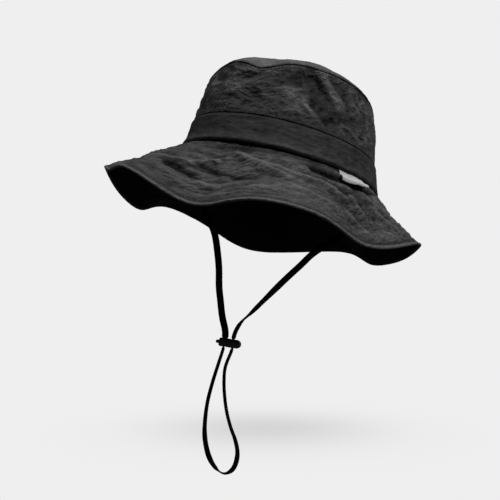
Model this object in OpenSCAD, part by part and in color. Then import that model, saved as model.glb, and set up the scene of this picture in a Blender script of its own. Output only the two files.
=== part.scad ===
// Soft bucket hat with a wide wavy brim and a chin cord with a two-hole cord lock.
// The origin is the centre of the head opening, +Z points up the crown and -Y is the front.

/* [Head opening] */
// Width of the head opening, side to side
head_w = 170; // [160:1:180]
// Length of the head opening, front to back
head_l = 198; // [190:1:206]

/* [Crown] */
// Height of the band above the head opening
band_h = 24; // [20:1:28]
// Height of the crown's top seam above the head opening
crown_h = 70; // [62:1:80]
// Size of the band at its top seam, as a share of the head opening
band_taper = 0.95; // [0.92:0.01:1]
// Size of the crown at its top seam, as a share of the head opening
crown_taper = 0.88; // [0.86:0.01:0.95]
// How far the soft crown leans sideways at its top seam, towards +X
crown_lean = -8; // [-10:1:10]
// Rise of the domed top panel above its seam
dome_h = 14.8; // [6:0.1:15]

/* [Brim] */
// Width of the brim from its seam to its edge
brim_w = 68.7; // [60:0.1:75]
// Loss of brim width on the right side, where the cloth is gathered
brim_gather = 15; // [0:1:18]
// Mean slope of the brim below the horizontal, in degrees
brim_slope = 37.2; // [32:0.1:42]
// How far the brim sags below the straight line from its seam to its edge
brim_sag = 4; // [0:0.5:6]
// How far the brim arches up at the wearer's right side
brim_arch = 7.9; // [0:0.1:9]

/* [Cloth] */
// Thickness of each outer panel, with its seam allowance
shell_t = 0.6; // [0.4:0.1:0.8]
// Thickness of the sweatband
sweatband_t = 0.8; // [0.6:0.1:1]
// Height of the sweatband
sweatband_h = 32; // [26:1:36]
// Diameter of the topstitching thread
thread_d = 0.5; // [0.4:0.1:0.6]

/* [Chin cord] */
// Width of the flat cord
cord_w = 6; // [5:0.1:6.2]
// Thickness of the flat cord
cord_t = 1; // [0.8:0.1:1.1]

/* [Cord lock] */
// Length of the cord lock's body
lock_l = 18; // [17.5:0.5:20]
// Height of the cord lock's body, along the cords
lock_h = 7.5; // [7:0.5:9]
// Depth of the cord lock's body, front to back
lock_d = 11.5; // [11.5:0.5:13]
// Travel of the plunger from its rest to fully pressed
plunger_travel = 2.4; // [1.5:0.1:2.4]

/* [Hidden] */

cloth_color = "#2b2b2d";
under_color = "#151516";
trim_color = "#111112";
label_color = "#adadb0";

gap = 0.1;           // clearance between neighbouring layers of cloth
seam_turn = 0.1;     // half of the gap at a side seam, in degrees
half_steps = 40;     // cloth facets along half of the hat's round
ring_steps = 80;     // cloth facets along the whole round
half_w = head_w / 2;
half_l = head_l / 2;

// ---- Layers, as distances outwards from the crown's outer surface ----
band_proud = 1.2;                        // the band stands out over the brim's seam
lining_out = -shell_t - 0.4;
lining_t = 0.4;
sweatband_out = lining_out - lining_t - 0.4;

// Share of the head opening's size that the crown has at height z
function share(z) =
    z < band_h
        ? 1 + (band_taper - 1) * z / band_h
        : band_taper + (crown_taper - band_taper) * (z - band_h) / (crown_h - band_h);

// Where the soft crown has sunk: [azimuth, half width, fall, draw inwards], in degrees and mm
settles = [[-158, 32, 9, 3], [43, 48, 7.4, 0], [-102, 15, 4, 0], [-48, 28, -1.8, 0]];

// A point of the crown at azimuth a and share r of its radius, after the crown has settled
function settle(p, a, r) =
    let (
        free = ease((r - 0.35) / 0.65) * ease((p[2] - band_h) / (crown_h - band_h)),
        fall = free * sum([for (w = settles) w[2] * bell(a, w[0], w[1])]),
        draw = free * sum([for (w = settles) w[3] * bell(a, w[0], w[1])])
    )
    p - [draw * cos(a), draw * sin(a), fall];

// Point of the crown's wall at azimuth a and height z, moved outwards by out
function plain_wall(a, z, out = 0) = [
    (half_w * share(z) + out) * cos(a) + crown_lean * z / crown_h,
    (half_l * share(z) + out) * sin(a),
    z
];
function wall(a, z, out = 0) = settle(plain_wall(a, z, out), a, 1);

// ---- Brim: each wave is [azimuth, change in slope, half width], in degrees ----
brim_waves = [
    [-165, -9.6, 11],   // wearer's right side, lifted
    [-137, -4.1, 13],
    [-107, 21.2, 17],   // front dip on the wearer's right
    [-79, 2.9, 12],
    [-46, 17.8, 20],    // front dip on the wearer's left
    [14, -9.3, 13],     // wearer's left side, lifted
    [49, 8.1, 11],
    [61, -10.5, 18],    // small lift at the back left
    [82, -1.6, 13],
    [113, 18.9, 26],    // wide dip at the back
    [121, -9.7, 13],
    [139, -13.9, 21],   // back right, lifted
    [164, 13.1, 17]     // small dip before the right side
];
brim_drop = 1.2;     // the brim's seam lies under the band's lower edge
gather_at = -1;      // azimuth where the brim is gathered
gather_spread = 28;
arch_at = -178;      // azimuth where the brim arches up
arch_spread = 36;
arch_power = 0.62;   // below 1, the arch is highest near the crown

// Smallest turn from azimuth b to azimuth a
function turn(a, b) = let (d = a - b) d - 360 * round(d / 360);
function bell(a, at, spread) = exp(-pow(turn(a, at) / spread, 2));
function sum(v, i = 0) = i < len(v) ? v[i] + sum(v, i + 1) : 0;
function ease(x) = let (y = max(0, min(1, x))) y * y * (3 - 2 * y);
function slope(a) = brim_slope + sum([for (w = brim_waves) w[1] * bell(a, w[0], w[2])]);
function width(a) = brim_w - brim_gather * bell(a, gather_at, gather_spread);

// Point of the brim at azimuth a, at share t of its width, moved up off its middle by up
function brim(a, t, up = 0) =
    let (
        s = slope(a),
        w = width(a),
        u = pow(t, arch_power),
        arch = brim_arch * bell(a, arch_at, arch_spread) * 4 * u * (1 - u),
        bow = brim_sag * 4 * t * (1 - t) - arch,
        reach = w * t * cos(s) - bow * sin(s) + up * sin(s),
        drop = w * t * sin(s) + bow * cos(s) - up * cos(s),
        n = [cos(a) / half_w, sin(a) / half_l],
        out = n / norm(n)
    )
    [half_w * cos(a) + reach * out[0], half_l * sin(a) + reach * out[1], -brim_drop - drop];

// ---- Closed sheets of cloth ----
// A sheet between an outer and an inner grid of points. Rows run upwards and columns
// run to the right, as seen from outside. A closed sheet joins its last column to its first.
module sheet(outer, inner, closed = false) {
    rows = len(outer);
    cols = len(outer[0]);
    n = rows * cols;
    last = closed ? cols - 1 : cols - 2;
    function at(side, r, c) = side * n + r * cols + c % cols;
    points = [for (grid = [outer, inner]) for (row = grid) for (p = row) p];
    outside = [for (r = [0:rows - 2]) for (c = [0:last]) each [
        [at(0, r, c), at(0, r + 1, c), at(0, r + 1, c + 1)],
        [at(0, r, c), at(0, r + 1, c + 1), at(0, r, c + 1)]
    ]];
    inside = [for (r = [0:rows - 2]) for (c = [0:last]) each [
        [at(1, r, c), at(1, r + 1, c + 1), at(1, r + 1, c)],
        [at(1, r, c), at(1, r, c + 1), at(1, r + 1, c + 1)]
    ]];
    bottom = [for (c = [0:last]) each [
        [at(0, 0, c), at(0, 0, c + 1), at(1, 0, c + 1)],
        [at(0, 0, c), at(1, 0, c + 1), at(1, 0, c)]
    ]];
    top = [for (c = [0:last]) let (r = rows - 1) each [
        [at(0, r, c), at(1, r, c + 1), at(0, r, c + 1)],
        [at(0, r, c), at(1, r, c), at(1, r, c + 1)]
    ]];
    sides = closed ? [] : [for (r = [0:rows - 2]) let (c = cols - 1) each [
        [at(0, r, 0), at(1, r, 0), at(1, r + 1, 0)],
        [at(0, r, 0), at(1, r + 1, 0), at(0, r + 1, 0)],
        [at(0, r, c), at(0, r + 1, c), at(1, r + 1, c)],
        [at(0, r, c), at(1, r + 1, c), at(1, r, c)]
    ]];
    polyhedron(points, concat(outside, inside, bottom, top, sides), convexity = 8);
}

// A dome-shaped sheet: rings of points from the rim inwards, with one point at the tip
module dome(outer, outer_tip, inner, inner_tip) {
    rings = len(outer);
    cols = len(outer[0]);
    n = rings * cols;
    function at(side, r, c) = side * n + r * cols + c % cols;
    tip = [2 * n, 2 * n + 1];
    points = concat([for (grid = [outer, inner]) for (row = grid) for (p = row) p],
                    [outer_tip, inner_tip]);
    outside = [for (r = [0:rings - 2]) for (c = [0:cols - 1]) each [
        [at(0, r, c), at(0, r + 1, c), at(0, r + 1, c + 1)],
        [at(0, r, c), at(0, r + 1, c + 1), at(0, r, c + 1)]
    ]];
    inside = [for (r = [0:rings - 2]) for (c = [0:cols - 1]) each [
        [at(1, r, c), at(1, r + 1, c + 1), at(1, r + 1, c)],
        [at(1, r, c), at(1, r, c + 1), at(1, r + 1, c + 1)]
    ]];
    rim = [for (c = [0:cols - 1]) each [
        [at(0, 0, c), at(0, 0, c + 1), at(1, 0, c + 1)],
        [at(0, 0, c), at(1, 0, c + 1), at(1, 0, c)]
    ]];
    tips = [for (c = [0:cols - 1]) let (r = rings - 1) each [
        [at(0, r, c), tip[0], at(0, r, c + 1)],
        [at(1, r, c), at(1, r, c + 1), tip[1]]
    ]];
    polyhedron(points, concat(outside, inside, rim, tips), convexity = 8);
}

// A solid swept through rings of points, open with two end caps or closed on itself.
// Each ring runs anticlockwise as seen looking back along the sweep.
module sweep(rings, closed = false) {
    n = len(rings);
    k = len(rings[0]);
    last = closed ? n - 1 : n - 2;
    function at(i, j) = (i % n) * k + j % k;
    skin = [for (i = [0:last]) for (j = [0:k - 1]) each [
        [at(i, j), at(i + 1, j), at(i + 1, j + 1)],
        [at(i, j), at(i + 1, j + 1), at(i, j + 1)]
    ]];
    caps = closed ? [] : [[for (j = [0:k - 1]) at(0, j)], [for (j = [k - 1:-1:0]) at(n - 1, j)]];
    polyhedron([for (ring = rings) for (p = ring) p], concat(skin, caps), convexity = 8);
}

// Azimuths of a front or back half, and of the whole round
function half_turn(from) =
    [for (i = [0:half_steps]) from + seam_turn + (180 - 2 * seam_turn) * i / half_steps];
round_turn = [for (i = [0:ring_steps - 1]) 360 * i / ring_steps];

// ---- Crown ----
module wall_panel(azimuths, heights, out, t, closed = false) {
    sheet([for (z = heights) [for (a = azimuths) wall(a, z, out)]],
          [for (z = heights) [for (a = azimuths) wall(a, z, out - t)]], closed);
}

function steps(from, to, n) = [for (i = [0:n]) from + (to - from) * i / n];

crown_heights = steps(band_h + gap, crown_h - gap, 4);
band_heights = steps(gap, band_h - gap, 2);
front = -180;
back = 0;

module crown_side_front() {
    color(cloth_color) wall_panel(half_turn(front), crown_heights, 0, shell_t);
}

module crown_side_back() {
    color(cloth_color) wall_panel(half_turn(back), crown_heights, 0, shell_t);
}

module band_front() {
    color(cloth_color) wall_panel(half_turn(front), band_heights, band_proud, shell_t + 0.6);
}

module band_back() {
    color(cloth_color) wall_panel(half_turn(back), band_heights, band_proud, shell_t + 0.6);
}

// Point of the top panel at share r of its radius: flat in the middle, steep at its seam
dome_power = 3.9;
function crest(r) = dome_h * (1 - pow(r, dome_power));
function lid(a, r, out, z) =
    let (edge = plain_wall(a, crown_h, out))
    settle([crown_lean + (edge[0] - crown_lean) * r, edge[1] * r, z + crest(r)], a, r);

module lid_panel(out, z, t) {
    radii = [1, 0.93, 0.8, 0.6, 0.35];
    dome([for (r = radii) [for (a = round_turn) lid(a, r, out, z)]], lid(0, 0, out, z),
         [for (r = radii) [for (a = round_turn) lid(a, r, out, z - t)]], lid(0, 0, out, z - t));
}

module crown_top() {
    color(cloth_color) lid_panel(0, crown_h + shell_t + gap, shell_t);
}

// ---- Lining, sweatband and labels ----
module lining_top() {
    color(under_color) lid_panel(lining_out, crown_h - gap, lining_t);
}

module lining_side() {
    heights = [gap, band_h, (band_h + crown_h) / 2, crown_h - lining_t - 2 * gap];
    color(under_color) wall_panel(round_turn, heights, lining_out, lining_t, true);
}

module sweatband() {
    heights = [0, band_h, sweatband_h];
    color(under_color) wall_panel(round_turn, heights, sweatband_out, sweatband_t, true);
}

module inner_label() {
    heights = [8, 22];
    azimuths = steps(81, 99, 6);
    label_t = 0.3;
    color(label_color)
        wall_panel(azimuths, heights, sweatband_out - sweatband_t - gap, label_t);
}

// Blank woven label, folded into the seam between band and brim
module side_label() {
    azimuths = steps(-51, -28, 12);
    shares = [0.13, 0.07, 0.02];
    label_t = 0.4;
    lift = shell_t + interlining_t / 2 + 2 * gap;
    color(label_color)
        sheet([for (t = shares) [for (a = azimuths) brim(a, t, lift + label_t)]],
              [for (t = shares) [for (a = azimuths) brim(a, t, lift)]]);
}

// ---- Brim ----
interlining_t = 0.5;
interlining_end = 0.95;  // the interlining stops short of the edge, at this share
brim_shares = [1, 0.94, 0.8, 0.62, 0.44, 0.26, 0.1, 0.04, 0.01, 0];
skin_in = interlining_t / 2 + gap;

module brim_skin(azimuths, low) {
    sheet([for (t = brim_shares) [for (a = azimuths) brim(a, t, low + shell_t)]],
          [for (t = brim_shares) [for (a = azimuths) brim(a, t, low)]]);
}

module brim_upper_front() {
    color(cloth_color) brim_skin(half_turn(front), skin_in);
}

module brim_upper_back() {
    color(cloth_color) brim_skin(half_turn(back), skin_in);
}

module brim_lower_front() {
    color(under_color) brim_skin(half_turn(front), -skin_in - shell_t);
}

module brim_lower_back() {
    color(under_color) brim_skin(half_turn(back), -skin_in - shell_t);
}

module brim_interlining() {
    shares = [interlining_end, 0.8, 0.62, 0.44, 0.26, 0.1, 0.04, 0.01];
    color("#3a3a3c")
        sheet([for (t = shares) [for (a = round_turn) brim(a, t, interlining_t / 2)]],
              [for (t = shares) [for (a = round_turn) brim(a, t, -interlining_t / 2)]], true);
}

// ---- Topstitching: one thread round each seam ----
thread_sides = 6;

// Ring of thread points about a middle point, in the plane of the axis and azimuth a
function thread_ring(middle, a) = [for (j = [0:thread_sides - 1])
    let (
        b = 360 * j / thread_sides,
        out = thread_d / 2 * cos(b),
        up = thread_d / 2 * sin(b)
    )
    middle + [out * cos(a), out * sin(a), up]];

module crown_top_stitching() {
    z = crown_h - 2.5;
    color(trim_color)
        sweep([for (a = round_turn) thread_ring(wall(a, z, thread_d / 2 + gap), a)], true);
}

module band_stitching() {
    z = band_h + 2.5;
    color(trim_color)
        sweep([for (a = round_turn) thread_ring(wall(a, z, thread_d / 2 + gap), a)], true);
}

module brim_edge_stitching() {
    edge_share = 0.94;
    up = skin_in + shell_t + thread_d / 2 + gap;
    color(trim_color)
        sweep([for (a = round_turn) thread_ring(brim(a, edge_share, up), a)], true);
}

// ---- Cord anchors: a folded cloth tab in each side seam, with the cord's end between its plies ----
tab_w = 10;                              // along the seam
tab_ply = 0.6;
end_t = 2.4;                             // the cord's end, folded and sewn
tab_clear = 0.3;                         // clearance between the end and each ply
tab_t = end_t + 2 * tab_clear + 2 * tab_ply;
tab_x = half_w - 4.6;                    // middle of the tab
tab_top = -0.4;
tab_low = -12;
pivot_z = -8;                            // height of the bar tack, where the cord swings
tack_r = 0.8;
tack_fit = 0.02;
end_low = -16;                           // where the folded end stops and the plain cord starts

module cord_tab(side) {
    slot_top = pivot_z + cord_w / 2 + 0.6;
    translate([side * tab_x, 0, 0])
        difference() {
            translate([-tab_t / 2, -tab_w / 2, tab_low])
                cube([tab_t, tab_w, tab_top - tab_low]);
            translate([-end_t / 2 - tab_clear, -tab_w, tab_low - 1])
                cube([end_t + 2 * tab_clear, 2 * tab_w, slot_top - tab_low + 1]);
            translate([0, 0, pivot_z])
                rotate([0, 90, 0])
                    cylinder(r = tack_r + tack_fit, h = 2 * tab_t, center = true, $fn = 32);
        }
}

module cord_bartack(side) {
    translate([side * tab_x, 0, pivot_z])
        rotate([0, 90, 0])
            cylinder(r = tack_r, h = tab_t, center = true, $fn = 32);
}

module cord_end(side) {
    tack_clear = 0.08;
    translate([side * tab_x, 0, 0])
        difference() {
            union() {
                translate([0, 0, pivot_z])
                    rotate([0, 90, 0])
                        cylinder(d = cord_w, h = end_t, center = true, $fn = 48);
                translate([-end_t / 2, -cord_w / 2, end_low])
                    cube([end_t, cord_w, pivot_z - end_low]);
            }
            translate([0, 0, pivot_z])
                rotate([0, 90, 0])
                    cylinder(r = tack_r + tack_clear, h = 2 * end_t, center = true, $fn = 32);
        }
}

module cord_tab_left() {
    color(trim_color) cord_tab(-1);
}

module cord_tab_right() {
    color(trim_color) cord_tab(1);
}

module cord_bartack_left() {
    color(label_color) cord_bartack(-1);
}

module cord_bartack_right() {
    color(label_color) cord_bartack(1);
}

module cord_end_left() {
    color(trim_color) cord_end(-1);
}

module cord_end_right() {
    color(trim_color) cord_end(1);
}

// ---- Chin cord: one flat cord in three stretches that meet inside the cord lock ----
lock_at = [-8, 0, -151];                 // middle between the lock's two holes
lock_tilt = 5;                           // the lock's +X end is tilted up
hole_pitch = 7.5;
lock_run = 6;                            // straight run of cord above and below the middle

// Point inside the lock, u along its length and w up along its holes
function in_lock(u, w) = lock_at +
    [u * cos(lock_tilt) - w * sin(lock_tilt), 0, u * sin(lock_tilt) + w * cos(lock_tilt)];

left_route = concat(
    [for (p = [[-80.4, -16], [-80.4, -18], [-79, -23], [-73, -29], [-65.5, -36], [-58, -44],
               [-50, -53], [-43, -63], [-37, -77], [-32, -91], [-28, -106], [-23.6, -118],
               [-19, -130], [-14, -140]])
        [p[0], 0, p[1]]],
    [in_lock(-hole_pitch / 2, lock_run), in_lock(-hole_pitch / 2, 0)]);

right_route = concat(
    [for (p = [[80.4, -16], [80.4, -18], [79, -23], [73, -29.5], [65.5, -37], [58, -45],
               [50, -53], [43, -61], [36, -72], [28, -84], [20.7, -95.5], [13, -108],
               [5, -121], [-1, -130], [-4, -138]])
        [p[0], 0, p[1]]],
    [in_lock(hole_pitch / 2, lock_run), in_lock(hole_pitch / 2, 0)]);

loop_route = concat(
    [in_lock(-hole_pitch / 2, 0), in_lock(-hole_pitch / 2, -lock_run)],
    [for (p = [[-12, -170], [-13, -187], [-13, -204], [-11, -220], [-8, -232], [-3, -243],
               [3, -251], [10, -256], [16, -257], [21, -253], [23, -246], [22, -237],
               [17.7, -228], [11.5, -219], [5.3, -208], [0.3, -196], [-3.7, -183], [-5.5, -171]])
        [p[0], 0, p[1]]],
    [in_lock(hole_pitch / 2, -lock_run), in_lock(hole_pitch / 2, 0)]);

// Direction of a route at its point i
function along(route, i) =
    let (
        n = len(route) - 1,
        d = route[min(i + 1, n)] - route[max(i - 1, 0)]
    )
    d / norm(d);

// Turn of the cord's flat side at share s: 90 where it faces sideways, 0 where it faces forwards.
// It doesn't turn within share hold of either end, so that it runs straight through the lock.
function cord_turn(s, from, to, hold) =
    90 * (1 - ease((s - hold) / (from - hold))) + 90 * ease((s - to) / (1 - hold - to));

// Outline of the flat cord's section, anticlockwise
cord_outline = [for (q = [[1, -0.25], [1, 0.25], [0.9, 0.5], [-0.9, 0.5],
                          [-1, 0.25], [-1, -0.25], [-0.9, -0.5], [0.9, -0.5]])
    [q[0] * cord_w / 2, q[1] * cord_t]];

module flat_cord(route, from, to) {
    n = len(route) - 1;
    sweep([for (i = [0:n])
        let (
            d = along(route, i),
            side = cross([0, 1, 0], d),
            b = cord_turn(i / n, from, to, 1 / n),
            across = side * cos(b) + [0, 1, 0] * sin(b),
            thick = cross(across, d)
        )
        [for (q = cord_outline) route[i] + across * q[0] + thick * q[1]]]);
}

module chin_cord_left() {
    color(trim_color) flat_cord(left_route, 0.35, 0.8);
}

module chin_cord_right() {
    color(trim_color) flat_cord(right_route, 0.35, 0.7);
}

module chin_cord_loop() {
    color(trim_color) flat_cord(loop_route, 0.3, 0.75);
}

// ---- Cord lock: a body with two through holes and a sprung plunger with two windows ----
lock_left = -7.6;                        // the body's open end, from the middle of the holes
lock_right = lock_left + lock_l;
pocket_h = 4.8;
pocket_d = 8.4;
pocket_end = lock_right - 2;             // the pocket's closed end
plunger_h = 4.4;
plunger_d = 8;
plunger_end = 5;
hole_d = 6.6;                            // hole size across the cord's width
hold = 0.1;                              // clearance on the side that grips the cord
hole_free = 2;                           // free side of each hole, from the cord's middle
tip_h = 3;
tip_d = 6;
tip_out = 3;                             // how far the plunger's tip stands out of the body

// Cuts a pair of holes along the cords, from low to high of each cord's middle
module cord_holes(low, high, depth) {
    for (u = [-hole_pitch / 2, hole_pitch / 2])
        translate([u + low, -depth / 2, -lock_h])
            cube([high - low, depth, 2 * lock_h]);
}

module in_lock_frame() {
    translate(lock_at) rotate([0, -lock_tilt, 0]) children();
}

module cord_lock_body() {
    end_r = lock_h / 2;
    corner_r = 1.2;
    color(trim_color) in_lock_frame() difference() {
        intersection() {
            // outline seen from the front: square-cut left end, round right end
            rotate([90, 0, 0])
                linear_extrude(height = lock_d, center = true) {
                    translate([lock_right - end_r, 0]) circle(r = end_r, $fn = 64);
                    translate([lock_left + corner_r, -lock_h / 2])
                        square([lock_l - end_r - corner_r, lock_h]);
                    translate([lock_left, -lock_h / 2 + corner_r])
                        square([corner_r * 2, lock_h - 2 * corner_r]);
                    for (z = [-1, 1])
                        translate([lock_left + corner_r, z * (lock_h / 2 - corner_r)])
                            circle(r = corner_r, $fn = 32);
                }
            // section across the length: flat top and bottom, round front and back
            translate([lock_left - 1, 0, 0])
                rotate([90, 0, 90])
                    linear_extrude(height = lock_l + 2) {
                        square([lock_d - lock_h, lock_h], center = true);
                        for (y = [-1, 1])
                            translate([y * (lock_d - lock_h) / 2, 0])
                                circle(r = lock_h / 2, $fn = 64);
                    }
        }
        translate([lock_left - 1, -pocket_d / 2, -pocket_h / 2])
            cube([pocket_end - lock_left + 1, pocket_d, pocket_h]);
        cord_holes(-cord_t / 2 - hold, hole_free, hole_d);
    }
}

module cord_lock_plunger() {
    window_low = -cord_t / 2 - hold - plunger_travel - 0.1;
    window_high = cord_t / 2 + hold;
    bar_low = lock_left + 0.1;
    color(trim_color) in_lock_frame() difference() {
        union() {
            translate([bar_low, -plunger_d / 2, -plunger_h / 2])
                cube([plunger_end - bar_low, plunger_d, plunger_h]);
            // the tip that the thumb presses, with a round outer end
            rotate([90, 0, 0])
                linear_extrude(height = tip_d, center = true) {
                    translate([lock_left - tip_out + tip_h / 2, 0]) circle(d = tip_h, $fn = 48);
                    translate([lock_left - tip_out + tip_h / 2, -tip_h / 2])
                        square([tip_out - tip_h / 2 + 0.5, tip_h]);
                }
        }
        cord_holes(window_low, window_high, hole_d + 0.2);
    }
}

// Compression spring between the plunger's end and the pocket's closed end
module cord_lock_spring() {
    wire_d = 0.4;
    spring_r = 1.7;
    turns = 2.5;
    turn_steps = 16;
    sides = 6;
    low = plunger_end + wire_d / 2 + gap / 2;
    high = pocket_end - wire_d / 2 - gap / 2;
    n = turns * turn_steps;
    color("silver") in_lock_frame()
        sweep([for (i = [0:n])
            let (
                a = 360 * i / turn_steps,
                middle = [low + (high - low) * i / n, spring_r * cos(a), spring_r * sin(a)],
                out = [0, cos(a), sin(a)]
            )
            [for (j = [0:sides - 1])
                let (b = 360 * j / sides)
                middle + wire_d / 2 * (out * cos(b) + [1, 0, 0] * sin(b))]]);
}

crown_top();
crown_side_front();
crown_side_back();
band_front();
band_back();
brim_upper_front();
brim_upper_back();
brim_lower_front();
brim_lower_back();
brim_interlining();
lining_top();
lining_side();
sweatband();
side_label();
inner_label();
crown_top_stitching();
band_stitching();
brim_edge_stitching();
cord_tab_left();
cord_tab_right();
cord_bartack_left();
cord_bartack_right();
cord_end_left();
cord_end_right();
chin_cord_left();
chin_cord_right();
chin_cord_loop();
cord_lock_body();
cord_lock_plunger();
cord_lock_spring();
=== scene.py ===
"""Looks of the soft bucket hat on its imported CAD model, in metres and degrees."""

import itertools
import math

import bpy
import numpy as np
from mathutils import Matrix, Vector


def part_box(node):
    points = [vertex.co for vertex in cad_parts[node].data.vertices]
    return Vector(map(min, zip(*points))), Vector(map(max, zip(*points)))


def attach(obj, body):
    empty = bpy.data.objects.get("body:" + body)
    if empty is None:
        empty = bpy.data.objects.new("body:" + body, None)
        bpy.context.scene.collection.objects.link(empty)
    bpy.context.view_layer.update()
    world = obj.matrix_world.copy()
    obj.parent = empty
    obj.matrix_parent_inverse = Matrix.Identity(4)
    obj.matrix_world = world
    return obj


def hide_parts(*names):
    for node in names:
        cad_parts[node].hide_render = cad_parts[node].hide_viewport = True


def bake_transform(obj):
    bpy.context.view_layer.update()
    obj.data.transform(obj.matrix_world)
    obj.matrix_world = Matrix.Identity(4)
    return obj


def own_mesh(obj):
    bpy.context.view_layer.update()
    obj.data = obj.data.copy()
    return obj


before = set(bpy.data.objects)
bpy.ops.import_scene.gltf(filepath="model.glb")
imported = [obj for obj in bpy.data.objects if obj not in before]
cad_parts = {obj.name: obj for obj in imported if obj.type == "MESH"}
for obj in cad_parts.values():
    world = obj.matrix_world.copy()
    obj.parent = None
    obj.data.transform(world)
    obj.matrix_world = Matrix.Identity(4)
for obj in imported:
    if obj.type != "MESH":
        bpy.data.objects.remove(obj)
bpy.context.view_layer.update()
scene = bpy.context.scene
MM = 0.001

# ---- camera
EYE_DISTANCE = 0.7
EYE_AZIMUTH = 8.0
EYE_ELEVATION = -11.3
LOOK_AT = Vector((-0.0096, 0.0, -0.0690))
CAMERA_ROLL = 14.18
LENS = 57.5


def add_object(name, data, matrix=None):
    obj = bpy.data.objects.new(name, data)
    scene.collection.objects.link(obj)
    if matrix:
        obj.matrix_world = matrix
    return obj


def make_camera():
    """The photograph's view: from the front, a little below, and tilted."""
    azimuth, elevation = math.radians(EYE_AZIMUTH), math.radians(EYE_ELEVATION)
    eye = EYE_DISTANCE * Vector((
        math.sin(azimuth) * math.cos(elevation),
        -math.cos(azimuth) * math.cos(elevation),
        math.sin(elevation),
    ))
    data = bpy.data.cameras.new("camera")
    data.lens = LENS
    data.sensor_width = 36
    data.clip_start, data.clip_end = 0.01, 50
    level = (LOOK_AT - eye).to_track_quat("-Z", "Y").to_matrix()
    tilted = level @ Matrix.Rotation(math.radians(CAMERA_ROLL), 3, "Z")
    scene.camera = add_object("camera", data, Matrix.Translation(eye) @ tilted.to_4x4())


make_camera()

# ---- the hat's shape, as in the CAD model
GAP = 0.1 * MM
SHELL_T = 0.6 * MM
BAND_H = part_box("band_front")[1].z + GAP
CROWN_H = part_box("crown_side_front")[1].z + GAP
SWEAT_OUT = -1.8 * MM
HALF_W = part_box("sweatband")[1].x - SWEAT_OUT
HALF_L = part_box("sweatband")[1].y - SWEAT_OUT
BAND_TAPER = 0.95
CROWN_TAPER = 0.88
CROWN_LEAN = -8 * MM
DOME_H = 14.8 * MM
DOME_POWER = 3.9
SETTLES = (
    (-158, 32, 9 * MM, 3 * MM), (43, 48, 7.4 * MM, 0), (-102, 15, 4 * MM, 0), (-48, 28, -1.8 * MM, 0),
)
DENT, DENT_AT, DENT_SPREAD = 3.5 * MM, -101, 10
BRIM_W = 68.7 * MM
BRIM_GATHER = 15 * MM
GATHER_AT, GATHER_SPREAD = -1, 28
BRIM_SLOPE = 37.2
BRIM_SAG = 4 * MM
BRIM_ARCH = 7.9 * MM
ARCH_AT, ARCH_SPREAD, ARCH_POWER = -178, 36, 0.62
BRIM_DROP = 1.2 * MM
BRIM_WAVES = (
    (-165, -9.6, 11), (-137, -4.1, 13), (-107, 21.2, 17), (-79, 2.9, 12), (-46, 17.8, 20),
    (14, -9.3, 13), (49, 8.1, 11), (61, -10.5, 18), (82, -1.6, 13), (113, 18.9, 26),
    (121, -9.7, 13), (139, -13.9, 21), (164, 13.1, 17),
)


def stack(*parts):
    """Points from their x, y and z arrays."""
    return np.stack(np.broadcast_arrays(*parts), axis=-1)


def unit(v):
    return v / np.maximum(np.linalg.norm(v, axis=-1, keepdims=True), 1e-12)


def steps_of(line):
    """Length of each step along a line of points."""
    return np.linalg.norm(np.diff(line, axis=0), axis=1)


def run_along(line):
    """How far along a line of points each of them lies."""
    return np.concatenate(([0], np.cumsum(steps_of(line))))


def share(z):
    """Share of the head opening's size that the crown has at height z."""
    low = 1 + (BAND_TAPER - 1) * z / BAND_H
    high = BAND_TAPER + (CROWN_TAPER - BAND_TAPER) * (z - BAND_H) / (CROWN_H - BAND_H)
    return np.where(z < BAND_H, low, high)


def settle(points, a, r):
    """The soft crown sinks round its top seam. r is 1 on the wall."""
    up = ease((points[..., 2] - BAND_H) / (CROWN_H - BAND_H))
    free = ease((r - 0.35) / 0.65) * up
    moved = points.copy()
    for at, spread, fall, draw in SETTLES:
        near = bell(a, at, spread) * free
        moved[..., 2] -= fall * near
        moved[..., 0] -= draw * near * np.cos(np.radians(a))
        moved[..., 1] -= draw * near * np.sin(np.radians(a))
    moved[..., 2] -= DENT * bell(a, DENT_AT, DENT_SPREAD) * ease((r - 0.62) / 0.38) * up**2
    return moved


def plain_wall(a, z):
    r = np.radians(a)
    return stack(HALF_W * share(z) * np.cos(r) + CROWN_LEAN * z / CROWN_H, HALF_L * share(z) * np.sin(r), z)


def wall(a, z):
    """Point of the crown's wall at azimuth a and height z."""
    return settle(plain_wall(a, z), a, np.ones_like(a))


def lid(a, r):
    """Point of the domed top at share r of its radius."""
    edge = plain_wall(a, np.full_like(a, CROWN_H))
    x = CROWN_LEAN + (edge[..., 0] - CROWN_LEAN) * r
    return settle(stack(x, edge[..., 1] * r, CROWN_H + DOME_H * (1 - r**DOME_POWER)), a, r)


def turn(a, b):
    """Smallest turn from azimuth b to azimuth a."""
    return a - b - 360 * np.round((a - b) / 360)


def bell(a, at, spread):
    return np.exp(-((turn(a, at) / spread) ** 2))


def slope(a):
    return BRIM_SLOPE + sum(change * bell(a, at, spread) for at, change, spread in BRIM_WAVES)


def width(a):
    return BRIM_W - BRIM_GATHER * bell(a, GATHER_AT, GATHER_SPREAD)


def brim(a, t):
    """Point of the brim at azimuth a and share t of its width."""
    s, w, r = np.radians(slope(a)), width(a), np.radians(a)
    u = t**ARCH_POWER
    bow = BRIM_SAG * 4 * t * (1 - t) - BRIM_ARCH * bell(a, ARCH_AT, ARCH_SPREAD) * 4 * u * (1 - u)
    reach = w * t * np.cos(s) - bow * np.sin(s)
    drop = w * t * np.sin(s) + bow * np.cos(s)
    out = unit(stack(np.cos(r) / HALF_W, np.sin(r) / HALF_L))
    x, y = HALF_W * np.cos(r) + reach * out[..., 0], HALF_L * np.sin(r) + reach * out[..., 1]
    return stack(x, y, -BRIM_DROP - drop)


def ease(x):
    y = np.clip(x, 0, 1)
    return y * y * (3 - 2 * y)


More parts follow.
